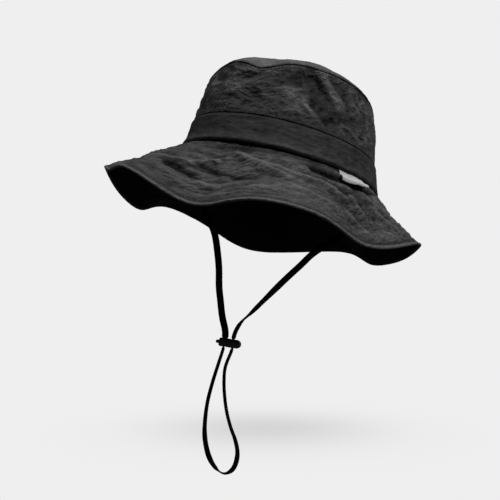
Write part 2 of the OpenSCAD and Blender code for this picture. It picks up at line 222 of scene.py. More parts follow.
# ---- noise for crumpled cloth
NOISE_SIDE = 256
_order = np.random.default_rng(11).permutation(NOISE_SIDE)
_ways = unit(np.random.default_rng(12).normal(size=(NOISE_SIDE, 3)))


def noise(p):
    """Smooth gradient noise from about -1 to 1 at points p."""
    cell = np.floor(p).astype(int)
    f = p - cell
    blend = f * f * f * (f * (f * 6 - 15) + 10)
    total = 0.0
    for corner in itertools.product((0, 1), repeat=3):
        c = (cell + corner) % NOISE_SIDE
        way = _ways[_order[(_order[(_order[c[..., 0]] + c[..., 1]) % NOISE_SIDE] + c[..., 2]) % NOISE_SIDE]]
        weight = np.prod(np.where(corner, blend, 1 - blend), axis=-1)
        total = total + weight * np.sum(way * (f - corner), axis=-1)
    return total * 1.6


def crumple(p, octaves=3, sharp=0.12):
    """Ridged noise with soft creases, from about -1 to 1."""
    p = p + 0.35 * stack(noise(p * 0.6 + 31), noise(p * 0.6 + 47), noise(p * 0.6 + 59))
    total, weight, size = 0.0, 0.0, 1.0
    for k in range(octaves):
        n = noise(p * 2**k + 17 * k)
        total = total + size * (1 - 2.6 * (np.sqrt(n * n + sharp * sharp) - sharp))
        weight += size
        size *= 0.5
    return total / weight - 0.35


def drum(a, h, round_size, height_size):
    """Noise coordinates on a drum, so that a pattern has no seam."""
    r = np.radians(a)
    return stack(HALF_W * np.cos(r) / round_size, HALF_L * np.sin(r) / round_size, h / height_size)


# ---- folds listed one by one and drawn from a seed
ARC = math.radians(1) * (HALF_W + HALF_L) / 2  # length round the wall of one degree


def fold(a, h, f, arc=ARC):
    """One soft crease from (a0, h0) to (a1, h1), steeper on its left."""
    a0, h0, a1, h1, height, half_width = f
    along = np.array(((a1 - a0) * arc, (h1 - h0) * MM))
    length = np.linalg.norm(along)
    along /= length
    x, y = turn(a, a0) * arc, h - h0 * MM
    t = (x * along[0] + y * along[1]) / length
    d = (-x * along[1] + y * along[0]) / (half_width * MM)
    d = d + 0.5 * np.sin(3.1 * t + a0)
    ends = ease((t + 0.12) / 0.3) * ease((1.12 - t) / 0.3)
    return height * MM * ends * np.exp(-np.where(d < 0, d * d, 0.35 * d * d))


# Each fold: azimuth and height in mm where it starts and where it ends, its relief, and its half width in mm
CROWN_FOLDS = (
    (-70, 70, -49, 41, 2.1, 3.3), (-77, 64, -60, 40, -1.6, 4.5), (-60, 68, -44, 48, -1.9, 3.6),
    (-76, 41, -61, 25, 1.2, 2.4), (-72, 43, -59, 30, -2.0, 3.0), (-59, 30, -38, 45, -2.0, 3.2),
    (-54, 38, -36, 29, 1.3, 1.8), (-117, 56, -98, 60, -1.2, 3.4), (-107, 41, -89, 54, -1.0, 3.4),
    (-91, 54, -75, 57, -2.0, 4.0), (-111, 34, -97, 36, -1.3, 4.0), (-97, 48, -79, 42, 1.2, 4.5),
    (-33, 63, -27, 55, 1.5, 2.4), (-141, 58, -135, 40, 1.1, 5.0), (-126, 48, -112, 44, 1.0, 3.2),
    (-156, 50, -146, 34, -1.2, 4.0), (-20, 60, -8, 36, 1.3, 3.4),
)
BRIM_FOLDS = (
    (-144, 41, -121, 33, 1.7, 1.7), (-126, 36, -105, 16, 1.6, 1.8), (-131, 42, -114, 41, -1.9, 2.4),
    (-119, 31, -105, 33, -1.3, 2), (-104, 10, -80, 24, 1.6, 2), (-86, 23, -54, 24, 2, 2.1),
    (-90, 22, -76, 31, 1.4, 1.7), (-69, 9, -51, 11, -2.4, 2.2), (-67, 22, -53, 20, 1.5, 1.5),
    (-56, 26, -47, 25, 1.6, 1.5), (-94, 56, -77, 42, 1, 2.2), (-114, 47, -92, 45, 1, 2.2),
    (-78, 38, -58, 42, 1.1, 2), (-46, 17, -28, 65, 1.5, 1.6), (-39, 12, -22, 35, 1.5, 1.6),
    (-51, 35, -40, 63, 1.3, 1.7), (-41, 25, -32, 53, -1.5, 1.7), (-32, 27, -21, 59, 1.4, 1.5),
    (-29, 17, -12, 47, 1.2, 1.7), (-155, 29, -134, 21, 1, 2.1), (-57, 7, -23, 10, -2.2, 1.4),
    (-57, 14, -44, 16, 1.2, 1.2), (-112, 60, -90, 56, 0.9, 1.8), (-101, 36, -87, 38, -1.2, 2.5),
)


def drawn_folds(seed, count, low, high, from_a, to_a, lean):
    """Folds from a seed, where none is listed."""
    draw = np.random.default_rng(seed)
    folds = []
    for _ in range(count):
        a0, h0 = draw.uniform(from_a, to_a), draw.uniform(low, high)
        run, rise = draw.uniform(10, 24), draw.uniform(-lean, lean)
        height = draw.choice((-1, 1)) * draw.uniform(0.7, 1.4)
        folds.append((a0, h0, a0 + run, min(max(h0 + rise, low), high), height, draw.uniform(2.4, 4.6)))
    return folds


crown_folds = CROWN_FOLDS + tuple(drawn_folds(21, 16, 30, 66, 0, 190, 22))
brim_folds = BRIM_FOLDS + tuple(drawn_folds(22, 14, 8, 54, 40, 180, 12))


# ---- relief of each surface
def wall_relief(a, z):
    """Folds of the crown's wall, shared by all its layers; none at its seams."""
    free = ease((z - BAND_H) / (9 * MM)) * ease((CROWN_H + 2 * MM - z) / (10 * MM))
    folds = 1.2 * sum(fold(a, z, f) for f in crown_folds)
    swell = 1.4 * MM * noise(drum(a, z, 0.042, 0.03)) + 1.3 * MM * crumple(drum(a, z, 0.026, 0.017) + 4, 2, 0.05)
    return free * (folds + swell)


def lid_relief(a, r):
    """Folds of the domed top, shared by its layers."""
    at = lid(a, r)
    free = ease((1 - r) / 0.25)
    return free * (1.3 * MM * noise(at / 0.03 + 5) + 0.7 * MM * crumple(at / 0.022 + 9, 2))


def brim_relief(a, t):
    """Folds of the brim, shared by its layers, and gathers where it is pulled in."""
    s = t * BRIM_W
    free = ease((t + 0.05) / 0.2) * ease((0.97 - t) / 0.16)
    folds = 1.5 * sum(fold(a, s, f, ARC * 1.25) for f in brim_folds)
    swell = 1.2 * MM * noise(drum(a, s, 0.05, 0.022) + 3)
    swell = swell + 1.1 * MM * crumple(drum(a, s, 0.04, 0.011) + 6, 2, 0.05)
    gathered = bell(a, -18, 30) * ease(t / 0.1) * ease((0.99 - t) / 0.16)
    pleats = 1.5 * MM * crumple(drum(a, s, 0.0085, 0.040) + 13, 2, 0.05)
    wrinkles = 1.1 * MM * crumple(drum(a, s, 0.0042, 0.016) + 29, 2, 0.04)
    return free * (folds + swell) + gathered * (pleats + wrinkles)


def crinkle(a, h):
    """Small creases of the outer face. They run more round the hat than up it."""
    broad = 0.34 * MM * crumple(drum(a, h, 0.017, 0.010) + 71, 3)
    small = 0.16 * MM * crumple(drum(a, h, 0.0062, 0.0042) + 83, 2)
    return broad + small


def hump(distance, reach):
    return np.exp(-((distance / reach) ** 2))


def dip(distance, depth, reach):
    """A seam's valley."""
    return -depth * hump(distance, reach)


# ---- layers of cloth
def normals(grid, wrap):
    """Normals of a grid, rows upwards and columns to the right as seen from outside."""
    if wrap:
        padded = np.concatenate((grid[:, -1:], grid, grid[:, :1]), axis=1)
        across = (padded[:, 2:] - padded[:, :-2]) / 2
    else:
        across = np.gradient(grid, axis=1)
    return unit(np.cross(across, np.gradient(grid, axis=0)))


def moved_out(base, relief, out, wrap):
    """A grid moved along its normals by its layers' relief, then by this layer's own distance."""
    shared = base + normals(base, wrap) * relief[..., None]
    return shared + normals(shared, wrap) * np.broadcast_to(out, relief.shape)[..., None]


def wall_layer(a, z, out, wrap=False):
    return moved_out(wall(a, z), wall_relief(a, z), out, wrap)


def lid_layer(a, r, out):
    return moved_out(lid(a, r), lid_relief(a, r), out, True)


def brim_layer(a, t, out, wrap=False):
    return moved_out(brim(a, t), brim_relief(a, t), out, wrap)


# ---- meshes
CLOTH_UV = "cloth"


def link_mesh(name, points, faces):
    mesh = bpy.data.meshes.new(name)
    mesh.from_pydata(np.asarray(points).reshape(-1, 3).tolist(), [], faces)
    mesh.update()
    mesh.shade_smooth()
    return add_object(name, mesh)


def quads(rows, cols, wrap, closed=False):
    """Faces of a grid. A closed one joins its last row to its first."""
    spans = [(r * cols, (r + 1) % rows * cols) for r in range(rows if closed else rows - 1)]
    sides = [(c, (c + 1) % cols) for c in range(cols if wrap else cols - 1)]
    return [(here + c, here + d, over + d, over + c) for here, over in spans for c, d in sides]


def end_faces(rows, cols):
    """The two open ends of a closed sheet, whose round rims are its rows 0 and rows + 1."""
    total = 2 * rows + 2
    made = []
    for r in range(rows + 1):
        ring = dict.fromkeys((r, r + 1, total - r - 1, (total - r) % total))
        made.append(tuple(i * cols for i in ring))
        made.append(tuple(i * cols + cols - 1 for i in reversed(ring)))
    return made


def edge_row(middle, row, beside, reach):
    """The row that rounds a sheet's edge, a little beyond its last row."""
    return (middle[row] + unit(middle[row] - middle[beside]) * reach)[None]


def tube_faces(rows, cols):
    """Faces of a round tube with closed ends."""
    last = (rows - 1) * cols
    return quads(rows, cols, True) + [tuple(range(cols - 1, -1, -1)), tuple(range(last, last + cols))]


def cloth(name, middle, thickness, crest, wrap=False):
    """A sheet of cloth about a grid of middle points, with a tone in mm that paints shade and highlights on it.
    """
    rows, cols = middle.shape[:2]
    n, half = normals(middle, wrap), thickness / 2
    low, high = edge_row(middle, 0, 1, half), edge_row(middle, -1, -2, half)
    sheet = np.concatenate((low, middle + n * half, high, (middle - n * half)[::-1]))
    faces = quads(2 * rows + 2, cols, wrap, closed=True)
    if not wrap:
        faces += end_faces(rows, cols)
    obj = link_mesh(name, sheet, faces)
    order = [0, *range(rows), rows - 1, *range(rows - 1, -1, -1)]
    add_weave(obj, middle, order, crest)
    return obj


def dome_cloth(name, middle, thickness, crest):
    """A round sheet of cloth: its rows run from the rim to close round the tip."""
    rows, cols = middle.shape[:2]
    n, half = normals(middle, True), thickness / 2
    rim = edge_row(middle, 0, 1, half)
    outer, inner = middle + n * half, middle - n * half
    sheet = np.concatenate((inner[::-1], rim, outer)).reshape(-1, 3)
    tips = np.stack((inner[-1].mean(axis=0), outer[-1].mean(axis=0)))
    faces = quads(2 * rows + 1, cols, True)
    last = 2 * rows * cols
    for c in range(cols):
        d = (c + 1) % cols
        faces.append((d, c, len(sheet)))
        faces.append((last + c, last + d, len(sheet) + 1))
    obj = link_mesh(name, np.concatenate((sheet, tips)), faces)
    order = [*range(rows - 1, -1, -1), 0, *range(rows)]
    add_weave(obj, middle, order, crest, tips=2)
    return obj


def lay_on_cloth(obj, uv):
    """Gives each point of a mesh its place on the flat cloth."""
    corners = np.empty(len(obj.data.loops), int)
    obj.data.loops.foreach_get("vertex_index", corners)
    obj.data.uv_layers.new(name=CLOTH_UV).data.foreach_set("uv", uv[corners].astype(np.float32).ravel())


def add_weave(obj, middle, order, crest, tips=0):
    """Gives a sheet its weave coordinates and, for its material, its tone in mm: painted shade and highlights
    from its creases, folds and seams.
    """
    if tips:
        uv = middle[..., :2]
    else:
        across = run_along(middle[len(middle) // 2])
        uv = stack(across[None, :], run_along(middle[:, middle.shape[1] // 2])[:, None])
    tip = np.tile(middle[-1].mean(axis=0)[:2], (tips, 1))
    lay_on_cloth(obj, np.concatenate((uv[order].reshape(-1, 2), tip)))
    heights = np.concatenate((crest[order].ravel(), np.zeros(tips))) / MM
    attribute = obj.data.attributes.new("crest", "FLOAT", "POINT")
    attribute.data.foreach_set("value", heights.astype(np.float32))


def piece(obj, body, slot, material, *replaced):
    """Finishes a piece: its material, its body and the CAD nodes that it stands for."""
    obj.data.materials.clear()
    obj.data.materials.append(material)
    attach(obj, body)
    if replaced:
        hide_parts(*replaced)


# ---- materials
def set_inputs(tree, node, inputs):
    """Links or sets a node's inputs, by name or number."""
    for key, value in inputs.items():
        if isinstance(value, bpy.types.NodeSocket):
            tree.links.new(value, node.inputs[key])
        else:
            node.inputs[key].default_value = value


def add_node(tree, kind, inputs, output=0, **settings):
    """Adds a shader node and gives one of its output sockets."""
    node = tree.nodes.new("ShaderNode" + kind)
    for key, value in settings.items():
        setattr(node, key, value)
    set_inputs(tree, node, inputs)
    return node.outputs[output]


def new_material(name):
    material = bpy.data.materials.new(name)
    material.use_nodes = True
    tree = material.node_tree
    return material, tree, tree.nodes["Principled BSDF"]


def maths(tree, operation, a, b=0.0):
    return add_node(tree, "Math", {0: a, 1: b}, operation=operation)


def plus(tree, a, b):
    return maths(tree, "ADD", a, b)


def times(tree, a, b):
    return maths(tree, "MULTIPLY", a, b)


def bump(tree, height, depth, strength, below=None):
    inputs = {"Strength": strength, "Distance": depth, "Height": height}
    if below is not None:
        inputs["Normal"] = below
    return add_node(tree, "Bump", inputs)


def plain_weave(tree, pitch):
    """Height of warp and weft threads that pass over each other by turns."""
    axes = tree.nodes.new("ShaderNodeSeparateXYZ")
    set_inputs(tree, axes, {0: add_node(tree, "UVMap", {}, uv_map=CLOTH_UV)})
    u, v = (maths(tree, "SINE", times(tree, axes.outputs[k], math.pi / pitch)) for k in (0, 1))
    threads = plus(tree, maths(tree, "ABSOLUTE", u), maths(tree, "ABSOLUTE", v))
    return plus(tree, times(tree, u, v), times(tree, threads, 0.5))


def shade_between(tree, factor, low, high, dark, pale):
    """Colour from dark to pale as factor goes from low to high, and paler still up to 1; on cloth this last stop
    paints highlights on crests.
    """
    ramp = tree.nodes.new("ShaderNodeValToRGB")
    stops = ramp.color_ramp.elements
    stops[0].position, stops[0].color = low, (*dark, 1)
    stops[1].position, stops[1].color = high, (*pale, 1)
    stops.new(1.0).color = (*(1.75 * c for c in pale), 1)
    tree.links.new(factor, ramp.inputs[0])
    return ramp.outputs[0]


def cloth_place(tree, turned, length):
    """Place on the cloth, for patterns drawn out by length along a turned axis."""
    uv = add_node(tree, "UVMap", {}, uv_map=CLOTH_UV)
    place = add_node(tree, "Mapping", {"Vector": uv, "Rotation": (0, 0, math.radians(-turned))})
    return add_node(tree, "VectorMath", {0: place, 1: (1 / length, 1, 1)}, operation="MULTIPLY")


def cloth_noise(tree, size, detail=3.0, turned=0.0, length=1.0):
    """Noise over the cloth, with features of that size."""
    place = cloth_place(tree, turned, length)
    return add_node(tree, "TexNoise", {"Vector": place, "Scale": 1 / size, "Detail": detail, "Distortion": 0.6})


def ridges(tree, size, turned, length):
    """Height of sharp little creases, from 0 between them to about 1 on them."""
    plain = cloth_noise(tree, size, 3.5, turned, length)
    away = maths(tree, "ABSOLUTE", maths(tree, "SUBTRACT", plain, 0.5))
    return maths(tree, "SUBTRACT", 1.0, maths(tree, "MINIMUM", times(tree, away, 4.0), 1.0))


def facets(tree, size, turned, length):
    """Height of small hollows that meet in sharp, irregular creases."""
    place = cloth_place(tree, turned, length)
    warp = add_node(tree, "TexNoise", {"Vector": place, "Scale": 1 / size, "Detail": 2.0}, "Color")
    moved = add_node(tree, "VectorMath", {0: warp, 1: (0.9 * size,) * 3, 2: place}, operation="MULTIPLY_ADD")
    return add_node(tree, "TexVoronoi", {"Vector": moved, "Scale": 1 / size, "Detail": 1.0}, "Distance")


def fabric(name, dark, pale, rough=0.7, sheen=0.03, pitch=0.45 * MM, weave=0.35, creases=0.5, crest_gain=0.5,
           gloss=0.12):
    """Woven cloth: threads, small creases and mottling, with painted highlights on crests and painted shade in
    hollows.
    """
    material, tree, shader = new_material(name)
    height = plus(tree, times(tree, ridges(tree, 0.010, 22, 1.8), 0.6), facets(tree, 0.0042, 28, 1.6))
    crest = add_node(tree, "Attribute", {}, "Fac", attribute_name="crest")
    # tone: mottling, a painted highlight on the small creases' ridges, and the sheet's own painted shade and
    # highlights
    tone_with_painted_light = plus(tree, times(tree, height, 0.3 * creases), times(tree, cloth_noise(tree, 0.012), 0.4))
    tone_with_painted_light = plus(tree, tone_with_painted_light, times(tree, crest, crest_gain))
    creased = bump(tree, height, 1.3 * MM * creases, 1.0)
    set_inputs(tree, shader, {
        "Base Color": shade_between(tree, tone_with_painted_light, 0.18, 0.72, dark, pale),
        "Roughness": rough,
        "Specular IOR Level": gloss,
        "Sheen Weight": sheen,
        "Sheen Roughness": 0.45,
        "Normal": bump(tree, plain_weave(tree, pitch), 0.04 * MM, weave, creased),
    })
    return material


def grained(name, size, detail, low, dark, pale, bumps, rough_gain=0.0, **inputs):
    """Plain matter with a fine grain, rougher where it is pale."""
    material, tree, shader = new_material(name)
    place = add_node(tree, "TexCoord", {}, "Object")
    grain = add_node(tree, "TexNoise", {"Vector": place, "Scale": 1 / size, "Detail": detail})
    inputs = {key.replace("_", " "): value for key, value in inputs.items()}
    inputs["Base Color"] = shade_between(tree, grain, low, 1 - low, dark, pale)
    if rough_gain:
        inputs["Roughness"] = plus(tree, inputs["Roughness"], times(tree, grain, rough_gain))
    if bumps:
        inputs["Normal"] = bump(tree, grain, *bumps)
    set_inputs(tree, shader, inputs)
    return material


def scaled(colour, *gains):
    return [tuple(c * k for c in colour) for k in gains]


OUTER_DARK = (0.0035, 0.0035, 0.0037)
INNER_DARK = (0.002, 0.002, 0.0021)
UNDER_DARK = (0.001, 0.001, 0.0011)
outer_cloth = fabric("outer_cloth", OUTER_DARK, (0.039, 0.039, 0.0405), creases=0.9)
# painted shade: the brim's copy of the outer cloth is made darker than the crown's
shaded_brim_cloth = fabric("shaded_brim_cloth", OUTER_DARK, (0.032, 0.032, 0.0333), creases=0.8, crest_gain=0.8)
under_cloth = fabric("under_cloth", UNDER_DARK, (0.006, 0.006, 0.0063), sheen=0, creases=0.8, gloss=0.05)
lining_cloth = fabric("lining_cloth", INNER_DARK, (0.008, 0.008, 0.0083), sheen=0, pitch=0.7 * MM, gloss=0.04)
sweatband_cloth = fabric("sweatband_cloth", INNER_DARK, (0.009, 0.009, 0.0093), 0.85, 0.0, 0.6 * MM, gloss=0.04)
band_cloth = fabric("band_cloth", OUTER_DARK, (0.046, 0.046, 0.048), creases=0.3)
stiffener_felt = fabric("stiffener_felt", (0.003, 0.003, 0.0031), (0.01, 0.01, 0.0104), 0.9, 0.0, 0.9 * MM)
tape_cloth = fabric("tape_cloth", UNDER_DARK, (0.0025, 0.0025, 0.0027), 0.7, 0, 0.5 * MM, 0.6, 0.15, gloss=0.05)
label_satin = fabric("label_satin", (0.36, 0.36, 0.37), (0.48, 0.48, 0.49), 0.45, 0.2, 0.25 * MM, 0.3, 0.2, 0.1)
thread = grained("thread", 0.0004, 2.0, 0.3, *scaled((0.006, 0.006, 0.0065), 0.7, 1.4), (0.05 * MM, 0.5),
                 Roughness=0.5, Sheen_Weight=0.2)
lock_plastic = grained("lock_plastic", 0.00035, 3.0, 0.35, *scaled((0.012, 0.012, 0.013), 0.8, 1.25),
                       (0.02 * MM, 0.35), 0.2, Roughness=0.32)
spring_steel = grained("spring_steel", 0.0003, 2.0, 0.3, (0.4, 0.4, 0.41), (0.6, 0.6, 0.61), None, 0.15,
                       Roughness=0.22, Metallic=1.0)

# ---- chin cord
CORD_W = 6 * MM
CORD_T = 1 * MM
LOCK_AT = (-8, -151)
LOCK_TILT = math.radians(5)
HOLE_HALF_PITCH = 3.75
LOCK_RUN = 6


def in_lock(u, w):
    """Point in the cord lock in mm, u along its length and w up along its holes."""
    c, s = math.cos(LOCK_TILT), math.sin(LOCK_TILT)
    return LOCK_AT[0] + u * c - w * s, LOCK_AT[1] + u * s + w * c


# The routes' own points as x and z in mm: the cord hangs in the plane y = 0
LEFT_ROUTE = (
    (-80.4, -16), (-80.4, -18), (-79, -23), (-73, -29), (-65.5, -36), (-58, -44), (-50, -53), (-43, -63),
    (-37, -77), (-32, -91), (-28, -106), (-23.6, -118), (-19, -130), (-14, -140),
    in_lock(-HOLE_HALF_PITCH, LOCK_RUN), in_lock(-HOLE_HALF_PITCH, 0),
)
RIGHT_ROUTE = (
    (80.4, -16), (80.4, -18), (79, -23), (73, -29.5), (65.5, -37), (58, -45), (50, -53), (43, -61),
    (36, -72), (28, -84), (20.7, -95.5), (13, -108), (5, -121), (-1, -130), (-4, -138),
    in_lock(HOLE_HALF_PITCH, LOCK_RUN), in_lock(HOLE_HALF_PITCH, 0),
)
LOOP_ROUTE = (
    in_lock(-HOLE_HALF_PITCH, 0), in_lock(-HOLE_HALF_PITCH, -LOCK_RUN),
    (-12, -170), (-13, -187), (-13, -204), (-11, -220), (-8, -232), (-3, -243), (3, -251),
    (10, -256), (16, -257), (21, -253), (23, -246), (22, -237), (17.7, -228), (11.5, -219),
    (5.3, -208), (0.3, -196), (-3.7, -183), (-5.5, -171),
    in_lock(HOLE_HALF_PITCH, -LOCK_RUN), in_lock(HOLE_HALF_PITCH, 0),
)


def smooth_route(route, step):
    """Points on a smooth curve through a route, and their places in it from 0 to 1."""
    p = np.array([(x, 0, z) for x, z in route], float) * MM
    p = np.concatenate((2 * p[:1] - p[1:2], p, 2 * p[-1:] - p[-2:-1]))
    points, shares = [], []
    spans = len(route) - 1
    for i in range(spans):
        a, b, c, d = p[i:i + 4]
        parts = max(2, round(np.linalg.norm(c - b) / step))
        for k in range(parts + (i == spans - 1)):
            x = k / parts
            points.append(0.5 * (2 * b + (c - a) * x + (2 * a - 5 * b + 4 * c - d) * x**2
                                 + (3 * b - 3 * c + d - a) * x**3))
            shares.append((i + x) / spans)
    return np.array(points), np.array(shares)


# How far each tape is turned at shares of its route: 90 where it faces sideways, 0 where it faces forwards
LEFT_TURNS = ((0, 90), (0.067, 90), (0.35, -6), (0.945, 4), (0.973, 84), (1, 90))
RIGHT_TURNS = ((0, 90), (0.0625, 90), (0.35, 10), (0.6, 16), (0.715, 44), (0.79, 72), (0.86, 50), (0.945, 48),
               (0.973, 84), (1, 90))
LOOP_TURNS = ((0, 90), (0.025, 86), (0.045, 60), (0.14, 56), (0.19, 54), (0.24, 49), (0.29, 38), (0.36, 32),
              (0.4, 46), (0.44, 74), (0.48, 70), (0.53, 54), (0.58, 56), (0.64, 68), (0.7, 76), (0.95, 76),
              (0.97, 88), (1, 90))


def tape_turn(shares, turns):
    """Turn of the tape at each share, eased between the turns of a table."""
    at, angles = np.array(turns, float).T
    k = np.clip(np.searchsorted(at, shares, side="right") - 1, 0, len(at) - 2)
    return angles[k] + (angles[k + 1] - angles[k]) * ease((shares - at[k]) / (at[k + 1] - at[k]))


def tape_section():
    """Outline of the flat tape's section, with round selvedges."""
    half, r = CORD_W / 2 - CORD_T / 2, CORD_T / 2
    angles = np.radians(np.linspace(-90, 90, 7))
    right = stack(half + r * np.cos(angles), r * np.sin(angles))
    top = stack(np.linspace(half, -half, 7)[1:-1], r)
    return np.concatenate((right, top, -right, -top))


def sweep_tape(name, centres, along, across):
    """A ribbed tape swept along its centreline. across is the direction of its width."""
    section = tape_section()
    thick = unit(np.cross(across, along))
    wide = np.cross(along, thick)
    run = run_along(centres)
    ribs = 1 + RIB_DEPTH * np.cos(2 * np.pi * run / RIB_PITCH)
    rings = (centres[:, None] + wide[:, None] * section[None, :, :1]
             + thick[:, None] * section[None, :, 1:] * ribs[:, None, None])
    obj = link_mesh(name, rings, tube_faces(*rings.shape[:2]))
    lay_on_cloth(obj, stack(run_along(section)[None, :], run[:, None]).reshape(-1, 2))
    return obj


CORD_STEP = 0.4 * MM
RIB_PITCH = 1.2 * MM
RIB_DEPTH = 0.10  # share of the tape's thickness


def chin_cord(name, node, route, turns, start, end):
    """One stretch of the chin cord: a ribbed tape that twists between its ends."""
    centres, shares = smooth_route(route, CORD_STEP)
    along = unit(np.gradient(centres, axis=0))
    b = np.radians(tape_turn(shares, turns))[:, None]
    sideways = np.array((0.0, 1.0, 0.0))
    obj = sweep_tape(name, centres, along, np.cross(sideways, along) * np.cos(b) + sideways * np.sin(b))
    obj.data.materials.append(tape_cloth)
    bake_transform(obj)
    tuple(start)
    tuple(end)
    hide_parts(node)
    float(steps_of(centres).sum())


def cad_piece(node, material, edge):
    """Keeps a CAD solid, with its sharp edges softened as a mould leaves them."""
    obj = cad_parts[node]
    soften = obj.modifiers.new("edges", "BEVEL")
    soften.width = edge
    soften.segments = 3
    soften.limit_method = "ANGLE"
    soften.angle_limit = math.radians(38)
    obj.data.materials.clear()
    obj.data.materials.append(material)
    return obj


lock_body = cad_piece("cord_lock_body", lock_plastic, 0.25 * MM)
lock_plunger = cad_piece("cord_lock_plunger", lock_plastic, 0.25 * MM)
lock_spring = cad_piece("cord_lock_spring", spring_steel, 0.04 * MM)
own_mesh(lock_spring)


# ---- threads
THREAD_SIDES = 6


def threads(name, paths, radius):
    """One mesh of many threads with rounded ends: paths is (threads, points, 3)."""
    count, steps = paths.shape[:2]
    along = unit(np.gradient(paths, axis=1))
    up = unit(np.cross(along, (0.31, 0.17, 0.93)))
    side = np.cross(along, up)
    thick = np.full(steps, radius)
    thick[[0, -1]] *= 0.45
    angles = np.linspace(0, 2 * np.pi, THREAD_SIDES, endpoint=False)
    ring = up[:, :, None] * np.cos(angles)[:, None] + side[:, :, None] * np.sin(angles)[:, None]
    points = paths[:, :, None] + ring * thick[None, :, None, None]
    tube = tube_faces(steps, THREAD_SIDES)
    bases = range(0, count * steps * THREAD_SIDES, steps * THREAD_SIDES)
    return link_mesh(name, points, [tuple(base + i for i in face) for base in bases for face in tube])


STITCH = 3.0 * MM
THREAD_R = 0.22 * MM


def stitch_row(name, surface):
    """A row of stitches round the hat. surface(a) gives the cloth's points and normals."""
    ring = surface(np.linspace(-180, 180, 720, endpoint=False))[0]
    count = round(float(np.linalg.norm(ring - np.roll(ring, 1, axis=0), axis=1).sum()) / STITCH)
    places = np.array((0.04, 0.14, 0.32, 0.5, 0.68, 0.86, 0.96))
    heights = np.array((-0.30, 0.02, 0.17, 0.2, 0.17, 0.02, -0.30)) * MM
    a = -180 + 360 * (np.arange(count)[:, None] + places).ravel() / count
    points, n = surface(a)
    lifted = points + n * np.tile(heights, count)[:, None]
    return threads(name, lifted.reshape(count, len(places), 3), THREAD_R)


# ---- chin cord pieces
def strap(name, profile, width, thickness, x):
    """A folded strap of a profile of x and z in mm."""
    line, _ = smooth_route(profile, 0.35 * MM)
    across = np.linspace(-width / 2, width / 2, 15)
    grid = line[:, None] + stack(0 * across, across, 0 * across)[None] + np.array((x, 0, 0))
    return cloth(name, grid, thickness, np.zeros(grid.shape[:2]))


TAB_PROFILE = (
    (-1.85, -12), (-1.85, -9), (-1.8, -6), (-1.3, -4.4), (-0.5, -3.2), (-0.35, -2), (-0.33, -1.1),
    (0, -0.75), (0.33, -1.1), (0.35, -2), (0.5, -3.2), (1.3, -4.4), (1.8, -6), (1.85, -9), (1.85, -12),
)
END_PROFILE = (
    (0, -16.4), (0.1, -15.6), (0.5, -14.2), (0.6, -12.6), (0.62, -10), (0.68, -7.2), (0.45, -5.8),
    (0, -5.45), (-0.45, -5.8), (-0.68, -7.2), (-0.5, -10), (-0.3, -12.4), (-0.32, -13.6),
)
TACK_Z = -8


def bar_tack(name, x):
    """Zigzag stitches on both faces of a tab, and the threads that the cord hangs on."""
    paths = []
    for face in (-1, 1):
        for k in range(26):
            y = -4 + 8 * k / 26
            lean = 0.8 if k % 2 else -0.8
            out = np.array((0.1, 0.3, 0.36, 0.3, 0.1)) + 2.1
            t = np.linspace(-1, 1, 5)
            paths.append(stack(face * out, y + 0.16 * t, TACK_Z + lean * t))
    for k in range(7):
        angle = 2 * math.pi * k / 6
        r = 0.3 if k < 6 else 0.0
        t = np.linspace(-2.1, 2.1, 5)
        paths.append(stack(t, r * math.cos(angle + 0.2 * t[0]), TACK_Z + r * math.sin(angle)))
    return threads(name, np.array([p * MM for p in paths]) + np.array((x, 0, 0)), 0.16 * MM)


def cord_fittings(side, sign):
    """A tab, its bar tack, and the cord's folded end in it."""
    low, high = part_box("cord_tab_" + side)
    x = (low.x + high.x) / 2
    tab = strap("tab_" + side, TAB_PROFILE, 10 * MM, 0.6 * MM, x)
    piece(tab, "hat", "cord", tape_cloth, "cord_tab_" + side)
    tack = bar_tack("bar_tack_" + side, x)
    piece(tack, "hat", "thread", thread, "cord_bartack_" + side)
    profile = [(sign * px, pz) for px, pz in END_PROFILE]
    end = strap("cord_end_fold_" + side, profile, 5.8 * MM, 0.75 * MM, x)
    piece(end, "chin_cord", "cord", tape_cloth, "cord_end_" + side)
    bulge = sign * (np.array((0.7, 1.02, 1.06, 1.02, 0.7)) + 0.02)
    along = 0.1 * np.linspace(0, 9, 5)
    rows = [stack(bulge, -2.4 + 1.2 * k + along, z) * MM for z in (-11.2, -12.4) for k in range(5)]
    sewn = threads("cord_end_stitches_" + side, np.array(rows) + np.array((x, 0, 0)), 0.14 * MM)
    piece(sewn, "chin_cord", "thread", thread)
    return end


end_left = cord_fittings("left", 1)
end_right = cord_fittings("right", -1)
lock_x, lock_z = LOCK_AT[0] * MM, LOCK_AT[1] * MM
cord_top, lock_top = (lock_x, 0, -20 * MM), (lock_x, 0, lock_z + LOCK_RUN * MM)
loop_foot, lock_foot = (lock_x, 0, -250 * MM), (lock_x, 0, lock_z - LOCK_RUN * MM)
chin_cord("cord_strand_left", "chin_cord_left", LEFT_ROUTE, LEFT_TURNS, cord_top, lock_top)
chin_cord("cord_strand_right", "chin_cord_right", RIGHT_ROUTE, RIGHT_TURNS, cord_top, lock_top)
chin_cord("cord_loop", "chin_cord_loop", LOOP_ROUTE, LOOP_TURNS, loop_foot, lock_foot)

# ---- cloth panels
FINE = 0.9 * MM
COARSE = 2.2 * MM
SEAM_GAP = 0.06


def columns(span, step):
    """Azimuths across a panel, from one side seam to the other."""
    low, high = span
    return np.linspace(low + SEAM_GAP, high - SEAM_GAP, round((high - low) * ARC / step) + 1)


def round_columns(count):
    """Azimuths all round a panel that has no side seam."""
    return np.linspace(-180, 180, count, endpoint=False)


def rows_between(low, high, step):
    return np.linspace(low, high, max(2, round(abs(high - low) / step) + 1))


